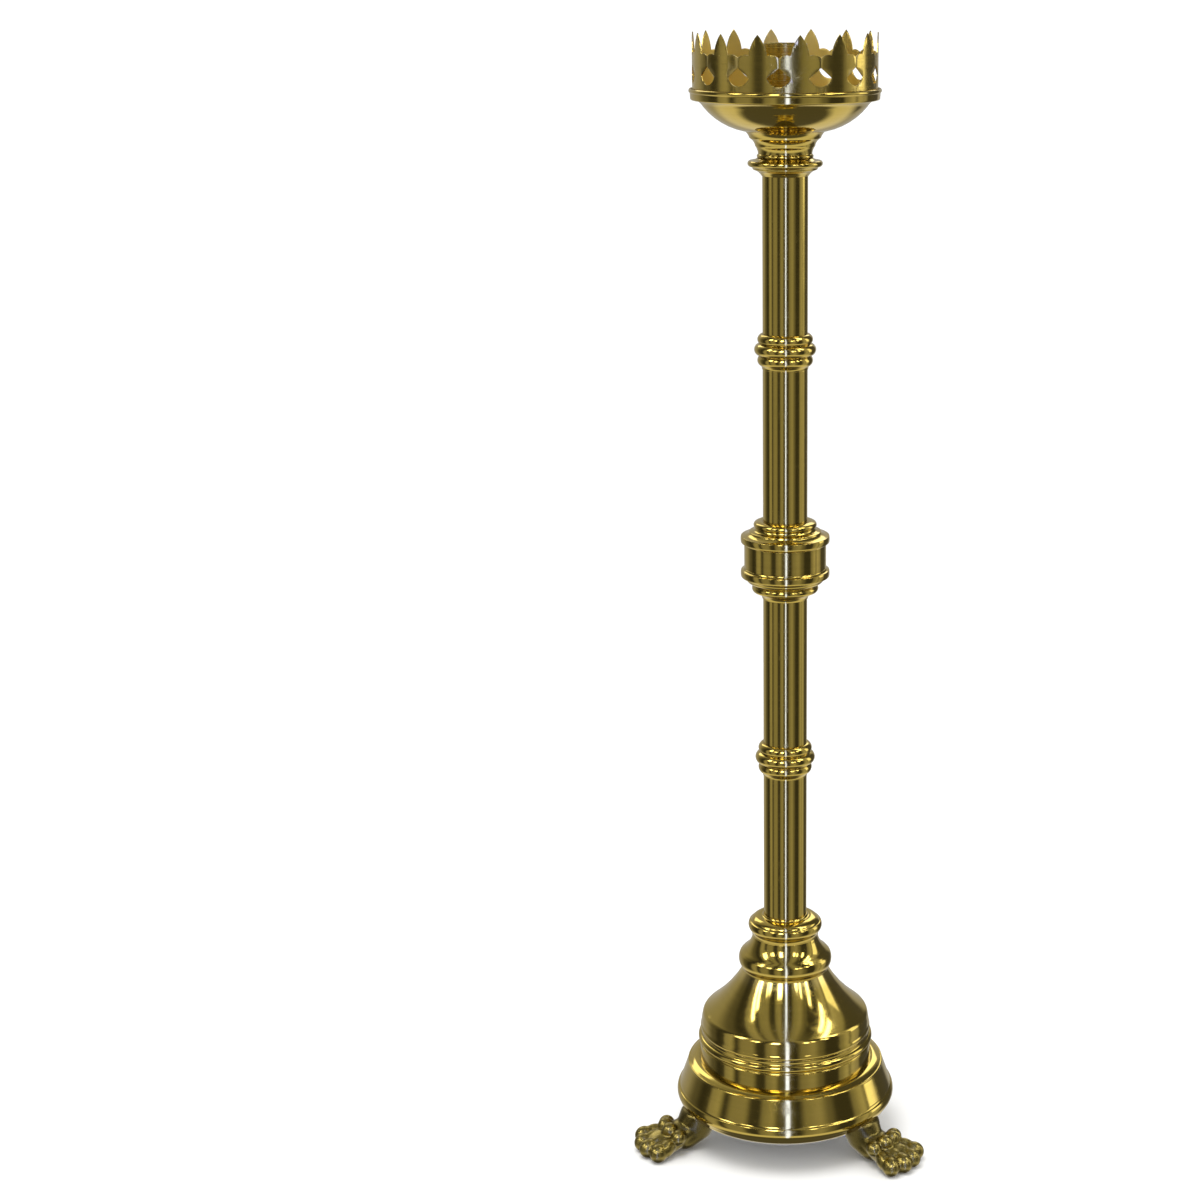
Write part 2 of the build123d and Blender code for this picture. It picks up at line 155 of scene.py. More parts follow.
# %% the studio world
wall_stops = (
    # bearing from the camera's side, positive to the right, and the wall's brightness there
    (-165, 0.50), (-135, 0.44), (-112, 0.14), (-100, 0.05), (-92, 0.07), (-86, 0.42), (-77, 0.50),
    (-68, 0.07), (-59, 0.36), (-45, 0.38), (-36, 0.07), (-29, 0.06),
    (-23, 0.34), (-14, 0.44), (-7, 0.14), (7, 0.14), (14, 0.05),
    (24, 0.34), (37, 0.44), (49, 0.20), (58, 0.06), (74, 0.06), (80, 0.34), (92, 0.60),
    (97, 0.30), (102, 0.62), (114, 0.45), (121, 0.10), (146, 0.10), (156, 0.46),
)
windows = (
    # bearing, half width, lowest and highest climb in degrees, brightness
    (-14, 5.5, 22, 45, 11.0),
    (-41, 3.0, 25, 40, 7.0),
    (-48, 2.0, 27, 40, 5.0),
    (-67, 2.8, 26, 46, 9.0),
    (-75, 2.8, 30, 52, 9.0),
    (31, 3.4, 25, 40, 7.0),
    (42, 2.2, 28, 42, 5.0),
    (61, 3.0, 26, 44, 7.0),
    (84, 3.4, 38, 60, 8.0),
    (96, 3.4, 46, 68, 8.0),
    (107, 8.0, -5, 30, 1.4),
    (165, 10.0, 20, 40, 2.0),
    (-150, 9.0, 22, 42, 2.0),
)
wall_behind = 0.46
ceiling_level = 0.30
ceiling_most = 0.7
ground_level = 0.95
under_level = 0.12
window_blur = 1.0
window_top_blur = 2.0
streak_bearing = 3.0
streak_half = 2.3
streak_blur = 0.7
warm_light = (1.0, 0.97, 0.90, 1)
daylight = (2.0, 2.6, 9.5, 1)
plain_strength = 1.12


def sky_wheel(ramp):
    """Writes the wall stops round the whole circle."""
    elements = ramp.color_ramp.elements
    while len(elements) > 1:
        elements.remove(elements[-1])
    elements[0].position = 0.0
    elements[0].color = (wall_behind, wall_behind, wall_behind, 1)
    for bearing, level in wall_stops + ((180, wall_behind),):
        element = elements.new((bearing + 180.0) / 360.0)
        element.color = (level, level, level, 1)


world = bpy.data.worlds.new("studio")
scene.world = world
world.use_nodes = True
tree = world.node_tree
tree.nodes.clear()
way = add(tree, "ShaderNodeTexCoord")
split = add(tree, "ShaderNodeSeparateXYZ")
tree.links.new(way.outputs["Generated"], split.inputs[0])
degree = 180.0 / math.pi
ahead = math_node(tree, "MULTIPLY", split.outputs["Y"], -1.0)
bearing = math_node(tree, "MULTIPLY", math_node(tree, "ARCTAN2", split.outputs["X"], ahead), degree)
climb = math_node(tree, "MULTIPLY", math_node(tree, "ARCSINE", split.outputs["Z"]), degree)

walls = add(tree, "ShaderNodeValToRGB")
walls.color_ramp.interpolation = "EASE"
sky_wheel(walls)
turned_round = math_node(tree, "DIVIDE", math_node(tree, "ADD", bearing, 180.0), 360.0)
tree.links.new(turned_round, walls.inputs[0])

# the walls give way to a mid grey ceiling above, and below to a bright floor that is dark
# under the stand itself
ceiling = map_range(tree, climb, 60.0, 88.0, 0.0, ceiling_most)
ground = map_range(tree, climb, -27.0, -40.0)
under = map_range(tree, climb, -50.0, -60.0)


def blend(tree, amount, first, second):
    """Mixes two values by an amount."""
    left = math_node(tree, "MULTIPLY", first, math_node(tree, "SUBTRACT", 1.0, amount))
    return math_node(tree, "MULTIPLY_ADD", second, amount, left)


level = blend(tree, ceiling, walls.outputs[0], ceiling_level)
level = blend(tree, ground, level, ground_level)
level = blend(tree, under, level, under_level)


def distance_from(tree, value, at):
    """How far a value is from a number, either way."""
    return math_node(tree, "ABSOLUTE", math_node(tree, "SUBTRACT", value, at))


for at, half, lowest, highest, bright in windows:
    across = map_range(tree, distance_from(tree, bearing, at), half + window_blur, half - window_blur)
    middle, reach_up = (lowest + highest) / 2, (highest - lowest) / 2
    upward = map_range(tree, distance_from(tree, climb, middle),
                       reach_up + window_top_blur, reach_up - window_blur)
    mask = math_node(tree, "MULTIPLY", across, upward)
    level = math_node(tree, "MULTIPLY_ADD", mask, bright, level)
warm = add(tree, "ShaderNodeMixRGB", blend_type="MULTIPLY")
warm.inputs[0].default_value = 1.0
tree.links.new(level, warm.inputs[1])
warm.inputs[2].default_value = warm_light

# one narrow strip of cool daylight runs up beside the camera
across = map_range(tree, distance_from(tree, bearing, streak_bearing),
                   streak_half + streak_blur, streak_half - streak_blur)
upward = map_range(tree, climb, -62.0, -50.0)
strip = add(tree, "ShaderNodeMixRGB", blend_type="MIX")
tree.links.new(math_node(tree, "MULTIPLY", across, upward), strip.inputs[0])
tree.links.new(warm.outputs[0], strip.inputs[1])
strip.inputs[2].default_value = daylight

mirrored = add(tree, "ShaderNodeBackground")
tree.links.new(strip.outputs[0], mirrored.inputs[0])
plain = add(tree, "ShaderNodeBackground")
plain.inputs[0].default_value = (1.0, 1.0, 1.0, 1)
plain.inputs[1].default_value = plain_strength
path = add(tree, "ShaderNodeLightPath")
which = add(tree, "ShaderNodeMixShader")
tree.links.new(path.outputs["Is Glossy Ray"], which.inputs[0])
tree.links.new(plain.outputs[0], which.inputs[1])
tree.links.new(mirrored.outputs[0], which.inputs[2])
output = add(tree, "ShaderNodeOutputWorld")
tree.links.new(which.outputs[0], output.inputs[0])
scene.view_settings.view_transform = "Standard"
print("world nodes", len(tree.nodes))

# %% [markdown]
# One wide soft box overhead gives the feet their contact shadow on the floor. It is turned off
# for mirrored rays, because the world already holds everything the brass mirrors.

# %% soft box
lamp_width = 1.6
lamp_watts = 30
lamp_place = (-0.4, -0.6, 2.6)
lamp_aim = Vector((0, 0, 0.1))
lamp = bpy.data.lights.new("overhead_box", "AREA")
lamp.shape, lamp.size, lamp.energy = "DISK", lamp_width, lamp_watts
overhead = bpy.data.objects.new("overhead_box", lamp)
overhead.location = lamp_place
overhead.rotation_euler = (lamp_aim - overhead.location).to_track_quat("-Z", "Y").to_euler()
overhead.visible_glossy = False
scene.collection.objects.link(overhead)

# %% [markdown]
# ## Turning on a lathe
#
# Most of the stand is turned or spun. Each outline is a short list of radius and height in
# millimetres, with a bulge where the run to that point is an arc. The arc is made by spinning
# one vertex round the arc's centre, the corners are rounded with a vertex bevel, because a
# truly sharp corner catches no light, and then the whole outline is spun once round the axis.
# A few extra vertices near the ends of each straight run keep the shading of the flats true.

# %% lathe
guard = 0.7 * MM
shortest_guarded = 3.2 * guard
long_step = 22 * MM
arc_step = 7
corner_turn = math.radians(24)
hard_edge = math.radians(38)
weld = 1e-7


def straight_run(bm, last, end):
    """Runs an edge to the end point, with a vertex just inside each end and along a long run."""
    start = last.co.copy()
    length = (end - start).length
    stops = []
    if length > shortest_guarded:
        count = max(1, math.ceil((length - 2 * guard) / long_step))
        stops = [guard + (length - 2 * guard) * index / count for index in range(count + 1)]
    for stop in stops + [length]:
        vert = bm.verts.new(start.lerp(end, stop / length))
        bm.edges.new((last, vert))
        last = vert
    return last


def arc_run(bm, last, end, bulge):
    """Spins the last vertex round the arc's centre to the end point. The bulge is to the right."""
    start = last.co.copy()
    chord = end - start
    length = chord.length
    side = Vector((chord.z, 0, -chord.x)).normalized()
    radius = (length * length / 4 + bulge * bulge) / (2 * abs(bulge))
    away = math.copysign(radius - abs(bulge), bulge)
    centre = (start + end) / 2 - side * away
    angle = 2 * math.asin(min(1.0, length / (2 * radius)))
    steps = max(4, math.ceil(math.degrees(angle) / arc_step))
    for sign in (1, -1):
        reach = Matrix.Rotation(sign * angle, 3, "Y") @ (start - centre) + centre
        if (reach - end).length < 1e-6:
            angle *= sign
            break
    made = bmesh.ops.spin(
        bm, geom=[last], cent=centre, axis=(0, 1, 0), dvec=(0, 0, 0), angle=angle, steps=steps,
        use_merge=False, use_normal_flip=False, use_duplicate=False)
    return [item for item in made["geom_last"] if isinstance(item, bmesh.types.BMVert)][0]


def draw_outline(bm, outline, closed=True):
    """Draws the outline in the XZ plane, in metres."""
    first = last = bm.verts.new((outline[0][0] * MM, 0, outline[0][1] * MM))
    for point in outline[1:]:
        end = Vector((point[0] * MM, 0, point[1] * MM))
        bulge = point[2] * MM if len(point) > 2 else 0.0
        last = arc_run(bm, last, end, bulge) if bulge else straight_run(bm, last, end)
    if closed:
        target = first.co.copy()
        last = straight_run(bm, last, target)
        bmesh.ops.remove_doubles(bm, verts=[first, last], dist=weld)


def round_corners(bm, amount):
    """Bevels each vertex where the outline turns sharply."""
    corners = []
    for vert in bm.verts:
        if len(vert.link_edges) != 2:
            continue
        ways = [(edge.other_vert(vert).co - vert.co).normalized() for edge in vert.link_edges]
        if math.pi - ways[0].angle(ways[1]) > corner_turn:
            corners.append(vert)
    bmesh.ops.bevel(
        bm, geom=corners, offset=amount, offset_type="OFFSET", segments=3, profile=0.5,
        affect="VERTICES", clamp_overlap=True, material=-1)


def smooth_all(bm, sharp=hard_edge):
    """Shades every face smooth and marks the edges that turn more than the sharp angle."""
    for face in bm.faces:
        face.smooth = True
    for edge in bm.edges:
        edge.smooth = edge.calc_face_angle(0.0) < sharp


def finish_piece(bm, name, material, node):
    """Makes the object at the origin, gives it its finish and its place in the frame."""
    data = bpy.data.meshes.new(name)
    bm.to_mesh(data)
    bm.free()
    piece = bpy.data.objects.new(name, data)
    scene.collection.objects.link(piece)
    data.materials.append(material)
    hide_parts(node)
    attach(piece, body_of[node])
    print(name, len(data.polygons), "faces")


def spin_outline(bm, segments):
    """Spins everything drawn so far once round the axis."""
    bmesh.ops.spin(
        bm, geom=bm.verts[:] + bm.edges[:], cent=(0, 0, 0), axis=(0, 0, 1), dvec=(0, 0, 0),
        angle=2 * math.pi, steps=segments, use_merge=True, use_normal_flip=False,
        use_duplicate=False)
    bmesh.ops.remove_doubles(bm, verts=bm.verts[:], dist=weld)


def turn_piece(name, node, outline, level, material, rounding=0.35 * MM, segments=160):
    """A turned solid from a closed outline, set on its seat."""
    bm = bmesh.new()
    draw_outline(bm, outline)
    round_corners(bm, rounding)
    spin_outline(bm, segments)
    bmesh.ops.recalc_face_normals(bm, faces=bm.faces[:])
    bmesh.ops.translate(bm, verts=bm.verts[:], vec=(0, 0, level))
    smooth_all(bm)
    finish_piece(bm, name, material, node)


bodies = frame["record"]["behaviour"]["bodies"]
body_of = {node: body for body, nodes in bodies.items() for node in nodes}

# %% [markdown]
# ## Finishes
#
# Every finish is built from the same few effects, each a node group with its own inputs: the
# fine rings that a lathe and a polishing mop leave, a slow cloudiness where lacquer and
# fingers have been, brighter metal on worn edges, and brown tarnish down in the seams. The
# groups give masks and colours. The shader itself stays in each material.

# %% shared effects
ring_wander = 0.004
fine_rings = 1500.0
broad_rings = 160.0
shade_samples = 6


def new_group(name, inputs, outputs):
    """A node group with plain number sockets, and its two ends."""
    group = bpy.data.node_groups.new(name, "ShaderNodeTree")
    for label, value in inputs:
        socket = group.interface.new_socket(name=label, in_out="INPUT", socket_type="NodeSocketFloat")
        socket.default_value = value
    for label in outputs:
        group.interface.new_socket(name=label, in_out="OUTPUT", socket_type="NodeSocketFloat")
    return group, add(group, "NodeGroupInput"), add(group, "NodeGroupOutput")


def noise(tree, vector, scale, detail, roughness):
    node = add(tree, "ShaderNodeTexNoise")
    node.inputs["Scale"].default_value = scale
    node.inputs["Detail"].default_value = detail
    node.inputs["Roughness"].default_value = roughness
    tree.links.new(vector, node.inputs["Vector"])
    return node.outputs["Fac"]


def lathe_lines_group():
    """Rings round the axis: noise read along radius and height, and hardly at all round the piece."""
    group, given, out = new_group("lathe_lines", [("Fineness", 1.0)], ["Lines", "Bands"])
    where = add(group, "ShaderNodeTexCoord")
    split = add(group, "ShaderNodeSeparateXYZ")
    group.links.new(where.outputs["Object"], split.inputs[0])
    x, y, z = split.outputs
    radius = math_node(group, "SQRT", math_node(group, "ADD", math_node(group, "MULTIPLY", x, x),
                                                math_node(group, "MULTIPLY", y, y)))
    wander = math_node(group, "MULTIPLY", x, ring_wander)
    across = add(group, "ShaderNodeCombineXYZ")
    group.links.new(math_node(group, "MULTIPLY", radius, given.outputs["Fineness"]), across.inputs[0])
    group.links.new(math_node(group, "MULTIPLY", z, given.outputs["Fineness"]), across.inputs[1])
    group.links.new(wander, across.inputs[2])
    group.links.new(noise(group, across.outputs[0], fine_rings, 2.0, 0.6), out.inputs["Lines"])
    group.links.new(noise(group, across.outputs[0], broad_rings, 3.0, 0.55), out.inputs["Bands"])
    return group


def clouds_group():
    """Slow patches where a cloth, fingers and old lacquer have left the polish uneven."""
    group, given, out = new_group("clouds", [("Scale", 14.0)], ["Clouds", "Smudge"])
    where = add(group, "ShaderNodeTexCoord")
    scaled = add(group, "ShaderNodeVectorMath", operation="SCALE")
    group.links.new(where.outputs["Object"], scaled.inputs[0])
    group.links.new(given.outputs["Scale"], scaled.inputs["Scale"])
    group.links.new(noise(group, scaled.outputs[0], 1.0, 5.0, 0.6), out.inputs["Clouds"])
    smudge = noise(group, scaled.outputs[0], 4.3, 6.0, 0.7)
    group.links.new(map_range(group, smudge, 0.52, 0.72), out.inputs["Smudge"])
    return group


def edges_group():
    """Convex edges, rubbed bright, and hollows, where polish and grime stay."""
    group, given, out = new_group("edges", [("Reach", 0.006)], ["Worn", "Seam"])
    shape = add(group, "ShaderNodeNewGeometry")
    worn = map_range(group, shape.outputs["Pointiness"], 0.515, 0.58)
    group.links.new(worn, out.inputs["Worn"])
    shade = add(group, "ShaderNodeAmbientOcclusion", samples=shade_samples)
    group.links.new(given.outputs["Reach"], shade.inputs["Distance"])
    group.links.new(map_range(group, shade.outputs["AO"], 0.72, 0.25), out.inputs["Seam"])
    return group


lathe_lines = lathe_lines_group()
clouds = clouds_group()
edges = edges_group()


def use_group(tree, group, **values):
    """Puts a shared effect into a material with its own inputs."""
    node = add(tree, "ShaderNodeGroup", node_tree=group)
    for name, value in values.items():
        node.inputs[name].default_value = value
    return node


def mix_colour(tree, amount, first, second, share=None):
    """Mixes two colours by an amount, or by a share of it."""
    if share is not None:
        amount = math_node(tree, "MULTIPLY", amount, share)
    node = add(tree, "ShaderNodeMix", data_type="RGBA")
    tree.links.new(amount, node.inputs[0])
    for socket, value in ((node.inputs[6], first), (node.inputs[7], second)):
        if isinstance(value, tuple):
            socket.default_value = (*value, 1)
        else:
            tree.links.new(value, socket)
    return node.outputs[2]


def off_axis(tree, where):
    """The place on the piece with its height taken out, so it points straight out from the axis."""
    level = add(tree, "ShaderNodeVectorMath", operation="MULTIPLY")
    level.inputs[1].default_value = (1, 1, 0)
    tree.links.new(where.outputs["Object"], level.inputs[0])
    return level.outputs[0]


def metal_surface(tree, tint, rough, height, metallic, strength, depth):
    """Ends a material: one Principled shader with its colour, roughness and bump."""
    bump = add(tree, "ShaderNodeBump")
    bump.inputs["Strength"].default_value = strength
    bump.inputs["Distance"].default_value = depth
    tree.links.new(height, bump.inputs["Height"])
    shader = add(tree, "ShaderNodeBsdfPrincipled")
    shader.inputs["Metallic"].default_value = metallic
    tree.links.new(tint, shader.inputs["Base Color"])
    tree.links.new(rough, shader.inputs["Roughness"])
    tree.links.new(bump.outputs[0], shader.inputs["Normal"])
    output = add(tree, "ShaderNodeOutputMaterial")
    tree.links.new(shader.outputs[0], output.inputs[0])


# %% [markdown]
# Polished brass is a warm yellow metal whose colour is all in its mirror. The clouds shift the
# colour a little between a greener and a redder gold, the seams go brown, the worn edges go
# pale, and the lathe's lines break the mirror up along the piece. Rings, seams and smudges also
# make it rougher. The crown's inner side was never polished, so there it is dull, and its colour
# is painted paler there: painted light on the side that faces the axis.

# %% brass finishes
brass_green = (0.52, 0.405, 0.09)
brass_gold = (0.61, 0.455, 0.115)
brass_worn = (0.82, 0.66, 0.27)
brass_brown = (0.13, 0.08, 0.016)
brass_painted_light_inside = (0.84, 0.66, 0.20)
bump_strength = 0.35


def faces_axis(tree):
    """One on a wall that looks inward at the axis, nothing on one that looks out."""
    where = add(tree, "ShaderNodeTexCoord")
    shape = add(tree, "ShaderNodeNewGeometry")
    outward = add(tree, "ShaderNodeVectorMath", operation="NORMALIZE")
    tree.links.new(off_axis(tree, where), outward.inputs[0])
    along = add(tree, "ShaderNodeVectorMath", operation="DOT_PRODUCT")
    tree.links.new(outward.outputs[0], along.inputs[0])
    tree.links.new(shape.outputs["True Normal"], along.inputs[1])
    return map_range(tree, along.outputs["Value"], -0.3, -0.7)


def turned_brass(name, roughness, line_depth, fineness, tarnish, banding, dull_and_painted_light_inside=0.0):
    """Polished brass with rings round the axis. A sheet piece can be left dull inside, with painted
    light making its inner side paler.
    """
    material = bpy.data.materials.new(name)
    tree = node_tree(material)
    rings = use_group(tree, lathe_lines, Fineness=fineness)
    patches = use_group(tree, clouds, Scale=13.0)
    wear = use_group(tree, edges, Reach=0.007)
    tint = mix_colour(tree, patches.outputs["Clouds"], brass_green, brass_gold)
    bands = map_range(tree, rings.outputs["Bands"], 0.35, 0.75, 0.0, banding)
    tint = mix_colour(tree, bands, tint, brass_brown)
    grime = math_node(tree, "MULTIPLY", wear.outputs["Seam"],
                      map_range(tree, patches.outputs["Clouds"], 0.25, 0.7, 0.55 * tarnish, tarnish))
    tint = mix_colour(tree, grime, tint, brass_brown)
    tint = mix_colour(tree, wear.outputs["Worn"], tint, brass_worn, 0.55)
    smudged = math_node(tree, "MULTIPLY", patches.outputs["Smudge"], 0.10)
    rough = math_node(tree, "ADD", roughness, smudged)
    rough = math_node(tree, "ADD", rough, math_node(tree, "MULTIPLY", grime, 0.30))
    lined = map_range(tree, rings.outputs["Lines"], 0.3, 0.7, -0.03, 0.05)
    rough = math_node(tree, "ADD", rough, lined)
    if dull_and_painted_light_inside:
        # painted light: the side that faces the axis gets a paler colour, and a rougher finish for
        # the unpolished sheet
        inner = faces_axis(tree)
        tint = mix_colour(tree, inner, tint, brass_painted_light_inside, 0.75)
        rough = math_node(tree, "MULTIPLY_ADD", inner, dull_and_painted_light_inside, rough)
    height = math_node(tree, "MULTIPLY_ADD", rings.outputs["Lines"], 0.35, rings.outputs["Bands"])
    metal_surface(tree, tint, rough, height, 1.0, bump_strength, line_depth)
    return material


spun_brass = turned_brass("spun_brass", 0.08, 0.02 * MM, 1.0, 0.8, 0.06)
moulded_brass = turned_brass("turned_brass", 0.09, 0.02 * MM, 1.2, 0.9, 0.08)
tube_brass = turned_brass("tube_brass", 0.10, 0.01 * MM, 1.0, 0.7, 0.03)
socket_brass = turned_brass("socket_brass", 0.24, 0.06 * MM, 0.8, 0.6, 0.15)
crown_brass = turned_brass("crown_brass", 0.15, 0.02 * MM, 0.9, 0.35, 0.06, dull_and_painted_light_inside=0.30)
print("brass finishes", 5)

# %% [markdown]
# The cast feet were only fettled and rubbed over. Their skin keeps the sand's grain, the hollows
# are dull brown, the leg tucked under the drum is unpolished and darkened further with painted
# shade, and only the high spots of the toes are bright.

# %% cast finish
cast_brown = (0.25, 0.20, 0.055)
cast_gold = (0.35, 0.275, 0.075)
cast_bright = (0.66, 0.54, 0.21)
cast_unpolished_and_painted_shade = (0.085, 0.068, 0.022)
cast_grime = (0.10, 0.075, 0.022)
# radii where the painted shade under the drum fades out into polished, lit metal
polish_and_light_start = 0.122
polish_and_light_full = 0.155
sand_skin_depth = 0.2 * MM


def cast_brass_finish():
    material = bpy.data.materials.new("cast_brass")
    tree = node_tree(material)
    where = add(tree, "ShaderNodeTexCoord")
    wear = use_group(tree, edges, Reach=0.010)
    patches = use_group(tree, clouds, Scale=30.0)
    shape = add(tree, "ShaderNodeNewGeometry")
    high = map_range(tree, shape.outputs["Pointiness"], 0.50, 0.56)
    low = map_range(tree, shape.outputs["Pointiness"], 0.50, 0.44)
    tint = mix_colour(tree, patches.outputs["Clouds"], cast_brown, cast_gold)
    # painted shade: the leg goes dark towards the axis, where it tucks under the drum, as well as
    # being unpolished there
    reach_out = add(tree, "ShaderNodeVectorMath", operation="LENGTH")
    tree.links.new(off_axis(tree, where), reach_out.inputs[0])
    unpolished_and_painted_shade = map_range(tree, reach_out.outputs["Value"], polish_and_light_full, polish_and_light_start)
    tint = mix_colour(tree, unpolished_and_painted_shade, tint, cast_unpolished_and_painted_shade, 0.75)
    tint = mix_colour(tree, high, tint, cast_bright, 0.7)
    hollow = math_node(tree, "MAXIMUM", low, wear.outputs["Seam"])
    tint = mix_colour(tree, hollow, tint, cast_grime, 0.8)
    grain = noise(tree, where.outputs["Object"], 900.0, 4.0, 0.6)
    pits = noise(tree, where.outputs["Object"], 260.0, 3.0, 0.5)
    rough = math_node(tree, "ADD", 0.30, math_node(tree, "MULTIPLY", hollow, 0.20))
    rough = math_node(tree, "ADD", rough, map_range(tree, grain, 0.3, 0.7, -0.06, 0.10))
    height = math_node(tree, "ADD", math_node(tree, "MULTIPLY", grain, 0.4), pits)
    metal_surface(tree, tint, rough, height, 1.0, bump_strength, sand_skin_depth)
    return material


cast_brass = cast_brass_finish()

# %% [markdown]
# The rod, nuts, washer and screws are plated steel, and the plate under the drum is a painted
# iron casting. They are seen only from below, but they get the same care.

# %% steel and iron finishes
rust_brown = (0.16, 0.07, 0.03)
seam_dirt = (0.03, 0.028, 0.025)
bare_edge = (0.62, 0.61, 0.59)
grain_strength = 0.5


def plain_metal(name, low, high, roughness, metallic, grain_scale, depth, rust):
    material = bpy.data.materials.new(name)
    tree = node_tree(material)
    where = add(tree, "ShaderNodeTexCoord")
    wear = use_group(tree, edges, Reach=0.006)
    patches = use_group(tree, clouds, Scale=40.0)
    grain = noise(tree, where.outputs["Object"], grain_scale, 4.0, 0.6)
    tint = mix_colour(tree, patches.outputs["Clouds"], low, high)
    tint = mix_colour(tree, patches.outputs["Smudge"], tint, rust_brown, rust)
    tint = mix_colour(tree, wear.outputs["Seam"], tint, seam_dirt, 0.7)
    tint = mix_colour(tree, wear.outputs["Worn"], tint, bare_edge, 0.5)
    rough = math_node(tree, "ADD", roughness, map_range(tree, grain, 0.3, 0.7, -0.08, 0.14))
    metal_surface(tree, tint, rough, grain, metallic, grain_strength, depth)
    return material


rod_steel = plain_metal(
    "rod_steel", (0.42, 0.42, 0.42), (0.56, 0.55, 0.52), roughness=0.32, metallic=1.0,
    grain_scale=700.0, depth=0.1 * MM, rust=0.15)
plate_iron = plain_metal(
    "plate_iron", (0.020, 0.020, 0.021), (0.034, 0.033, 0.032), roughness=0.55, metallic=0.0,
    grain_scale=420.0, depth=0.5 * MM, rust=0.25)

# %% [markdown]
# ## The seats of the stack
#
# Every turned piece stands on the one below it. The seats are read from the frame's boxes, with
# the depth of the hidden spigots added back where a piece reaches down into its neighbour.

# %% seats
spigot = 10.0
register = 6.0


def low(node):
    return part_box(node)[0].z


def high(node):
    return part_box(node)[1].z


def half_width(node):
    """A turned piece's largest radius, in millimetres."""
    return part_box(node)[1].x / MM


seat = {
    "base_drum": low("base_drum"),
    "base_step": low("base_step") + register * MM,
    "base_bell": low("base_bell") + register * MM,
    "neck_cup": high("base_bell"),
    "base_collar": low("base_collar") + spigot * MM,
    "small_knop_lower": high("column_tube_1"),
    "mid_knop_cup": high("column_tube_2"),
    "mid_knop_band": low("mid_knop_band"),
    "mid_knop_cap": high("mid_knop_band"),
    "small_knop_upper": high("column_tube_3"),
    "capital_ring": high("column_tube_4"),
    "capital": low("capital") + spigot * MM,
    "drip_pan": high("capital"),
}
for number in range(1, 5):
    seat[f"column_tube_{number}"] = low(f"column_tube_{number}")
tube_radius = half_width("column_tube_1")
for node, level in sorted(seat.items(), key=lambda item: item[1]):
    print(f"{node:18s} seat {level / MM:8.2f} mm")

# %% finish the CAD nodes that keep their own shape
for material, nodes in (
        (rod_steel, ("tie_rod", "rod_nut_top", "rod_nut_bottom", "rod_washer", "foot_screws")),
        (plate_iron, ("base_plate",)),
        (socket_brass, ("socket_spigot", "socket_floor"))):
    for node in nodes:
        slots = frame["nodes"][node].data.materials
        slots.clear()
        slots.append(material)
    print(material.name, "on", len(nodes), "nodes")

# %% [markdown]
# ## The base: drum, step and bell
#
# Three spun shells stand one in the other. A spinner works a flat disc over a wooden chuck, so
# each is one sheet of even thickness with its rim turned in. The outline of the outer side is
# spun round the axis and then given the sheet's thickness. The step and the bell have a short
# register under them that centres them in the piece below.

# %% spun shells
sheet_rounding = 0.5 * MM


def outward_area(face):
    """The face's area, counted by how far it looks away from the axis."""
    middle = face.calc_center_median()
    return face.calc_area() * (face.normal.x * middle.x + face.normal.y * middle.y)


def faces_outward(bm):
    """Turns an open shell's faces away from the axis, so that its wall is added on the inside."""
    bmesh.ops.recalc_face_normals(bm, faces=bm.faces[:])
    if sum(outward_area(face) for face in bm.faces) < 0:
        bmesh.ops.reverse_faces(bm, faces=bm.faces[:])


def spun_piece(name, node, outline, wall, material, segments=192):
    """A sheet shell: the outer outline spun round, then thickened on its inner side."""
    bm = bmesh.new()
    draw_outline(bm, outline, closed=False)
    round_corners(bm, sheet_rounding)
    spin_outline(bm, segments)
    faces_outward(bm)
    bmesh.ops.solidify(bm, geom=bm.faces[:], thickness=wall * MM)
    bmesh.ops.recalc_face_normals(bm, faces=bm.faces[:])
    bmesh.ops.translate(bm, verts=bm.verts[:], vec=(0, 0, seat[node]))
    smooth_all(bm)
    finish_piece(bm, name, material, node)


sheet = 2.0
step_radius = 101.5
bell_rim = 99.5
bell_neck = 49.7
register_bore = 92.0
register_radius = 91.9
drum_outline = [
    (100, 0),
    (113, 0),
    (125.5, 8.5, 2.4),
    (127.5, 23, 2.4),
    (125, 26.5, -0.6),
    (115.8, 53),
    (113.8, 55, 0.8),
    (step_radius + 3, 59, 0.6),
    (register_bore, 59),
]
step_outline = [
    (register_radius, -register),
    (register_radius, 0),
    (step_radius, 0),
    (step_radius - 0.6, 19.5),
    (step_radius - 1.5, 22.5, -0.8),
    (step_radius - 1.5, 31, 3),
    (bell_rim, 34, -0.5),
    (bell_rim, 37),
    (register_bore, 37),
]
bell_outline = [
    (register_radius, -register),
    (register_radius, 0),
    (bell_rim, 0),
    (bell_rim, 6, 0.9),
    (bell_rim - 1.6, 17.3, 0.3),
    (bell_rim - 5.5, 23.4, 0.9),
    (bell_neck, 75, -3.4),
]
spun_piece("drum", "base_drum", drum_outline, sheet, spun_brass, 256)
spun_piece("step", "base_step", step_outline, sheet, spun_brass)
spun_piece("bell", "base_bell", bell_outline, sheet, spun_brass)

# %% [markdown]
# ## The mouldings
#
# The neck cup, collar, knops, capital ring and capital are turned from castings and bored
# through for the rod. Each ends in a plain spigot that goes into the tube or the piece beside
# it, so the whole column can be threaded on the rod and clamped. The tube's radius and bore
# are the frame's, and the spigots follow from them.

# %% turned mouldings
tube_wall = 1.5
turned_wall = 5.0
spigot_clearance = 0.1
tube_bore = tube_radius - tube_wall
tube_spigot = tube_bore - spigot_clearance
column_bore = tube_spigot - turned_wall
rod_hole = 6.5
waist = 38.3
collar_radius = 43.2
cup_radius = 54.7
cup_height = 42.0
collar_height = 26.0

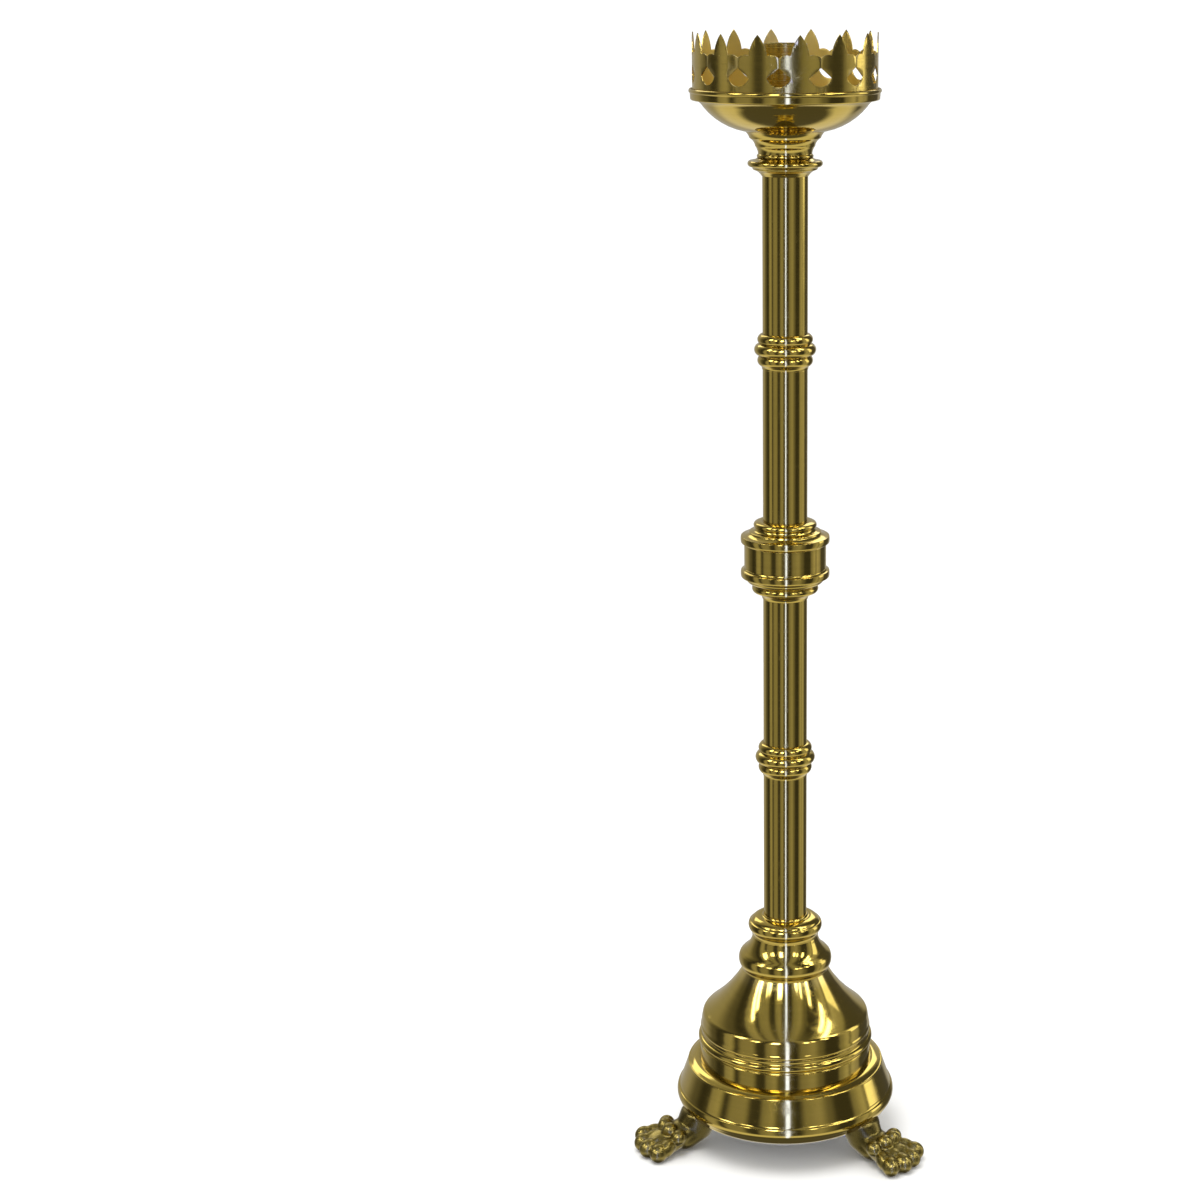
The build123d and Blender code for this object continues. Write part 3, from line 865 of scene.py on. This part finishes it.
neck_cup_outline = [
    (waist - turned_wall, -spigot),
    (bell_neck - sheet - 1.1, -spigot),
    (bell_neck - sheet - 1.1, 0),
    (bell_neck + 0.8, 0),
    (cup_radius - 2.2, 5, -0.6),
    (cup_radius - 1.6, 19.5, 1.9),
    (cup_radius - 3.8, 22),
    (waist, cup_height, -2.6),
    (waist - turned_wall, cup_height),
]
collar_outline = [
    (column_bore, -spigot),
    (waist - turned_wall - spigot_clearance, -spigot),
    (waist - turned_wall - spigot_clearance, 0),
    (waist + 0.6, 0),
    (collar_radius - 1.8, 7.5, -0.7),
    (collar_radius - 1.4, 17.5, 1.6),
    (collar_radius - 4.2, 20, -0.5),
    (tube_radius + 3.5, 24, 1.2),
    (tube_radius + 0.5, collar_height, -0.6),
    (tube_spigot, collar_height),
    (tube_spigot, collar_height + spigot),
    (column_bore, collar_height + spigot),
]
small_knop = 34.3
small_bead = 30.8
small_height = 39.5
small_knop_outline = [
    (column_bore, -spigot),
    (tube_spigot, -spigot),
    (tube_spigot, 0),
    (tube_radius + 0.6, 0),
    (small_bead - 2.2, 5, -0.9),
    (small_bead - 2.2, 15, 2.2),
    (small_knop - 2.8, 16.5),
    (small_knop - 2.8, 27.5, 2.8),
    (small_bead - 1.8, 29),
    (small_bead - 1.8, 37.5, 1.8),
    (tube_radius + 0.6, small_height, 0.4),
    (tube_spigot, small_height),
    (tube_spigot, small_height + spigot),
    (column_bore, small_height + spigot),
]
turn_piece("neck_cup_turned", "neck_cup", neck_cup_outline, seat["neck_cup"], moulded_brass)
turn_piece("collar_turned", "base_collar", collar_outline, seat["base_collar"], moulded_brass)
for node in ("small_knop_lower", "small_knop_upper"):
    turn_piece(node + "_turned", node, small_knop_outline, seat[node], moulded_brass)

# %% [markdown]
# The middle knop is three pieces: a cup and a cap with a flange each, and a plain band between
# them that both enter by a register. The capital stands on its ring by a spigot, and flares out
# to carry the pan.

# %% middle knop and capital
flange = 49.8
band = 46.3
band_bore = band - turned_wall / 2
bead = 36.0
knop_cup_height = 36.0
knop_cap_height = 26.5
knop_cup_outline = [
    (column_bore, -spigot),
    (tube_spigot, -spigot),
    (tube_spigot, 0),
    (tube_radius + 1, 0),
    (tube_radius + 6.5, 6.5, -1.2),
    (bead, 8.5),
    (bead, 15.5, 1.6),
    (bead + 2, 18),
    (bead + 7.6, 21.5, 0.8),
    (flange - 3, 24.5, -0.9),
    (flange, 26),
    (flange, 33.5, 0.5),
    (band + 0.4, knop_cup_height, -0.6),
    (band_bore - spigot_clearance, knop_cup_height),
    (band_bore - spigot_clearance, knop_cup_height + register),
    (band_bore - turned_wall, knop_cup_height + register),
    (band_bore - turned_wall, 26),
    (column_bore, 16),
]
knop_cap_outline = [
    (band_bore - turned_wall, -register),
    (band_bore - spigot_clearance, -register),
    (band_bore - spigot_clearance, 0),
    (band + 0.4, 0),
    (flange, 2, -0.5),
    (flange, 9.5, 0.5),
    (bead + 5, 13, -0.8),
    (bead + 4.6, 14.5),
    (bead + 2, 15.5),
    (bead - 2, 19, -0.9),
    (bead - 2, 25, 1.6),
    (tube_radius + 0.8, knop_cap_height, 0.6),
    (tube_spigot, knop_cap_height),
    (tube_spigot, knop_cap_height + spigot),
    (column_bore, knop_cap_height + spigot),
    (column_bore, 15.5),
    (band_bore - turned_wall, 5.5),
]
band_height = (high("mid_knop_band") - low("mid_knop_band")) / MM
band_outline = [(band_bore, 0), (band, 0), (band, band_height), (band_bore, band_height)]

ring_radius = 40.6
ring_height = 19.0
capital_neck = 29.0
capital_top = 44.2
capital_height = 29.0
capital_web = 6.0
capital_spigot = column_bore - spigot_clearance
capital_ring_outline = [
    (column_bore, -spigot),
    (tube_spigot, -spigot),
    (tube_spigot, 0),
    (tube_radius + 0.6, 0),
    (ring_radius - 6.6, 6.5, -1),
    (ring_radius - 5, 8.5, 0.5),
    (ring_radius - 2, 10, -0.4),
    (ring_radius - 1.8, 16.5, 2.2),
    (capital_neck + 1.8, ring_height, -0.8),
    (column_bore, ring_height),
]
capital_outline = [
    (capital_spigot - turned_wall, -spigot),
    (capital_spigot, -spigot),
    (capital_spigot, 0),
    (capital_neck + 0.4, 0),
    (capital_neck + 0.4, 4.5, 1.4),
    (capital_neck + 3.6, 13, -0.7),
    (capital_top - 7, 20.5, -0.9),
    (capital_top - 5.4, 21.5),
    (capital_top, capital_height, -0.8),
    (rod_hole, capital_height),
    (rod_hole, capital_height - capital_web),
    (capital_spigot - turned_wall, capital_height - capital_web),
]
for node, outline in (
        ("mid_knop_cup", knop_cup_outline),
        ("mid_knop_band", band_outline),
        ("mid_knop_cap", knop_cap_outline),
        ("capital_ring", capital_ring_outline),
        ("capital", capital_outline)):
    turn_piece(node + "_turned", node, outline, seat[node], moulded_brass)

# %% [markdown]
# ## The tubes
#
# Four equal lengths of drawn tube carry the height. A drawn tube is smooth along its length
# and was polished turning, so its lines also run round it.

# %% tubes
for number in range(1, 5):
    node = f"column_tube_{number}"
    length = (high(node) - low(node)) / MM
    tube_outline = [(tube_bore, 0), (tube_radius, 0), (tube_radius, length), (tube_bore, length)]
    turn_piece(f"tube_{number}", node, tube_outline, seat[node], tube_brass, 0.2 * MM)

# %% [markdown]
# ## The pan and the candle socket
#
# The pan is a thin spun dish with a level ledge for the crown and a small upright rim. The
# socket is a plain tube. Its skirt is bored a hair wider up to the shoulder that carries the
# floor disc.

# %% pan and socket
pan_sheet = 1.5
pan_seat = 46.0
pan_bowl = 88.8
pan_rim = 102.8
pan_ledge = 33.0
pan_height = 45.0
crown_radius = half_width("crown")
pan_outline = [
    (rod_hole, 0),
    (pan_seat, 0),
    (pan_bowl, 26, 4.4),
    (pan_bowl + 8.5, pan_ledge, -1),
    (crown_radius + 1.2, pan_ledge),
    (pan_rim - 0.5, pan_ledge + 1.8, 0.3),
    (pan_rim - 0.1, pan_height - 4.5),
    (pan_rim, pan_height, 1.3),
]
spun_piece("pan", "drip_pan", pan_outline, pan_sheet, spun_brass, 224)

socket_outer = half_width("candle_socket")
socket_wall = 1.2
skirt_ease = 0.3
socket_bore = socket_outer - socket_wall
skirt_bore = socket_bore + skirt_ease
socket_height = (high("candle_socket") - low("candle_socket")) / MM
shoulder = (high("socket_floor") - low("candle_socket")) / MM
socket_outline = [
    (skirt_bore, 0),
    (socket_outer, 0),
    (socket_outer, socket_height),
    (socket_bore, socket_height),
    (socket_bore, shoulder),
    (skirt_bore, shoulder),
]
turn_piece(
    "socket_tube", "candle_socket", socket_outline, low("candle_socket"), socket_brass, 0.25 * MM)

# %% [markdown]
# ## The crown
#
# The crown is one band of sheet, sawn into fourteen spears with a pair of lobes and a curved
# diamond under each gap. One gap with its half spears is drawn flat, filled, cut into narrow
# upright strips so that it can bend, rolled to the crown's radius, and repeated round the
# axis. Only then is the sheet's thickness added, so there is no wall between the repeats. The
# sawn edges are eased with a file, which is what lets them catch the light.

# %% crown
spears = 14
first_spear = math.radians(-81)
crown_sheet = 1.2
crown_seat = low("crown")
spear_tip = 69.5
half_pitch = crown_radius * math.sin(math.pi / spears)
lobe_side = half_pitch - 9.8
lobe_top = 48.0
strips = 20
sawn_edge = math.radians(60)
sawn_edge_easing = 0.16 * MM
outline_weld = 1e-6
repeat_weld = 2e-6
gap_outline = [
    (-half_pitch, 0),
    (half_pitch, 0),
    (half_pitch, spear_tip),
    (lobe_side, lobe_top, 1.8),
    (0, lobe_top - 2.5, 2.0),
    (-lobe_side, lobe_top, 2.0),
    (-half_pitch, spear_tip, 1.8),
]
piercing_outline = [
    (-12.8, 25.5),
    (0, 16.5, 2.4),
    (12.8, 25.5, 2.4),
    (0, 36),
]


def roll_flat(bm, radius, angle):
    """Rolls a flat plate, drawn in X and Z, round the axis with its middle at the angle."""
    for vert in bm.verts:
        turn = angle + math.asin(max(-1.0, min(1.0, vert.co.x / radius)))
        vert.co = Vector((radius * math.cos(turn), radius * math.sin(turn), vert.co.z))


def make_crown():
    """One gap drawn flat, filled, rolled, repeated round the axis and given its thickness."""
    bm = bmesh.new()
    draw_outline(bm, gap_outline)
    draw_outline(bm, piercing_outline)
    bmesh.ops.remove_doubles(bm, verts=bm.verts[:], dist=outline_weld)
    bmesh.ops.triangle_fill(
        bm, use_beauty=True, use_dissolve=False, edges=bm.edges[:], normal=(0, -1, 0))
    for index in range(1, strips):
        place = (-half_pitch + 2 * half_pitch * index / strips) * MM
        bmesh.ops.bisect_plane(
            bm, geom=bm.verts[:] + bm.edges[:] + bm.faces[:], dist=weld, plane_co=(place, 0, 0),
            plane_no=(1, 0, 0))
    roll_flat(bm, crown_radius * MM, first_spear + math.pi / spears)
    bmesh.ops.spin(
        bm, geom=bm.verts[:] + bm.edges[:] + bm.faces[:], cent=(0, 0, 0), axis=(0, 0, 1),
        dvec=(0, 0, 0), angle=2 * math.pi * (spears - 1) / spears, steps=spears - 1,
        use_merge=False, use_normal_flip=False, use_duplicate=True)
    bmesh.ops.remove_doubles(bm, verts=bm.verts[:], dist=repeat_weld)
    faces_outward(bm)
    bmesh.ops.solidify(bm, geom=bm.faces[:], thickness=crown_sheet * MM)
    bmesh.ops.recalc_face_normals(bm, faces=bm.faces[:])
    rims = [edge for edge in bm.edges if edge.is_manifold and edge.calc_face_angle() > sawn_edge
            and abs(edge.link_faces[0].normal.z) + abs(edge.link_faces[1].normal.z) > 0.02]
    bmesh.ops.bevel(
        bm, geom=rims, offset=sawn_edge_easing, offset_type="OFFSET", segments=2, profile=0.5,
        affect="EDGES", clamp_overlap=True, material=-1)
    bmesh.ops.translate(bm, verts=bm.verts[:], vec=(0, 0, crown_seat))
    smooth_all(bm)
    finish_piece(bm, "crown_sheet", crown_brass, "crown")


make_crown()

# %% [markdown]
# ## The paw feet
#
# Each foot is one casting: a short leg under the drum that spreads into a lion's paw, with
# toes round the front and a row of knuckles behind them. A founder's pattern for it would be
# carved, so the masses are laid on as soft lumps, run together into one skin, smoothed the way
# casting and fettling smooth them, and cut flat where the sole stands.

# %% paws
def lump(bm, place, size, turn=0.0, lean=0.0):
    """An egg of the given half sizes, in millimetres, set at the place."""
    made = bmesh.ops.create_icosphere(bm, subdivisions=4, radius=1.0)
    shape = (
        Matrix.Translation(Vector(place) * MM)
        @ Matrix.Rotation(math.radians(turn), 4, "Z")
        @ Matrix.Rotation(math.radians(lean), 4, "Y")
        @ Matrix.Diagonal((*(Vector(size) * MM), 1)))
    bmesh.ops.transform(bm, matrix=shape, verts=made["verts"])


def chain(bm, places, count=7):
    """A row of eggs from one place and size to the next, for a limb."""
    for (start, start_size), (end, end_size) in zip(places, places[1:]):
        for index in range(count + 1):
            part = index / count
            place = Vector(start).lerp(Vector(end), part)
            size = Vector(start_size).lerp(Vector(end_size), part)
            lump(bm, place, size)


foot_angles = {"foot_front_left": 203.0, "foot_front_right": -37.0, "foot_rear": 83.0}
leg_top = 31.0
voxel = 0.9 * MM
smoothing = 14
leg_run = (  # place and half sizes, from the top of the leg to the heel
    ((115, 0, 42), (17, 21, 7)),
    ((113, 0, 30), (25, 20, 9)),
    ((118, 0, 18), (22, 18.5, 11)),
    ((130, 0, 12), (19, 18, 13)),
)
body_run = (  # place and half sizes, from the ankle to the roots of the toes
    ((126, 0, 24), (18, 18, 12)),
    ((142, 0, 17), (20, 20, 14)),
    ((158, 0, 11), (20, 23, 14)),
    ((168, 0, 8), (16, 25, 12)),
)
toes = (  # side, front and the height of the knuckle
    (-24, 171, 24),
    (-8, 177.5, 28.5),
    (8, 177.5, 28.5),
    (24, 171, 24),
)
toes_spread_from = 128


def paw_masses(bm):
    """The leg, the paw's body, and a tip, a finger and a knuckle for each toe."""
    chain(bm, leg_run)
    chain(bm, body_run, 6)
    for side, front, knuckle_level in toes:
        spread = math.degrees(math.atan2(side, front - toes_spread_from))
        lump(bm, (front - 0.5, side, 11), (12, 9.8, 11.5), spread)
        lump(bm, (front - 12, 0.93 * side, 14), (13, 7.6, 10), spread, 20)
        lump(bm, (front - 27, 0.85 * side, knuckle_level), (9.4, 8.6, 9.2), spread)


def sculpt_paw():
    """Runs the masses together into one smoothed skin, pointing along X."""
    bm = bmesh.new()
    paw_masses(bm)
    data = bpy.data.meshes.new("paw_masses")
    bm.to_mesh(data)
    bm.free()
    rough = bpy.data.objects.new("paw_masses", data)
    scene.collection.objects.link(rough)
    skin = rough.modifiers.new("skin", "REMESH")
    skin.mode, skin.voxel_size, skin.adaptivity = "VOXEL", voxel, 0.0
    ease = rough.modifiers.new("ease", "SMOOTH")
    ease.factor, ease.iterations = 0.5, smoothing
    bpy.context.view_layer.update()
    finished = rough.evaluated_get(bpy.context.evaluated_depsgraph_get())
    ready = bpy.data.meshes.new_from_object(finished)
    bpy.data.objects.remove(rough)
    print("paw skin", len(ready.polygons), "faces")
    return ready


paw_skin = sculpt_paw()


def cut_flat(bm, place, way):
    """Cuts away the side that the way points to and closes the cut."""
    cut = bmesh.ops.bisect_plane(
        bm, geom=bm.verts[:] + bm.edges[:] + bm.faces[:], dist=weld, plane_co=place, plane_no=way,
        clear_outer=True)
    rim = [item for item in cut["geom_cut"] if isinstance(item, bmesh.types.BMEdge)]
    bmesh.ops.holes_fill(bm, edges=rim, sides=0)


plate_edge = 108.4 * MM
drum_floor_edge = 113 * MM
drum_rim = 125.5 * MM
drum_rim_rise = 8.5 * MM
under_drum = seat["base_drum"] - 0.3 * MM
cast_hard_edge = math.radians(60)


def saddle_level(reach):
    """How high the leg may stand that far from the axis, under the plate and round the drum."""
    if reach < plate_edge:
        return leg_top * MM
    if reach < drum_floor_edge:
        return under_drum
    if reach < drum_rim:
        along = (reach - drum_floor_edge) / (drum_rim - drum_floor_edge)
        return under_drum + drum_rim_rise * along ** 1.9
    return under_drum + drum_rim_rise + 2.4 * (reach - drum_rim)


def cast_foot(name, node, angle):
    """One foot: the skin cut flat at the sole, seated under the drum and turned to its place."""
    bm = bmesh.new()
    bm.from_mesh(paw_skin)
    cut_flat(bm, (0, 0, 0), (0, 0, -1))
    for vert in bm.verts:
        vert.co.z = min(vert.co.z, saddle_level(math.hypot(vert.co.x, vert.co.y)))
    bmesh.ops.recalc_face_normals(bm, faces=bm.faces[:])
    turn = Matrix.Rotation(math.radians(angle), 3, "Z")
    bmesh.ops.rotate(bm, verts=bm.verts[:], cent=(0, 0, 0), matrix=turn)
    smooth_all(bm, cast_hard_edge)
    finish_piece(bm, name, cast_brass, node)


for node, angle in foot_angles.items():
    cast_foot(node + "_paw", node, angle)
bpy.data.meshes.remove(paw_skin)
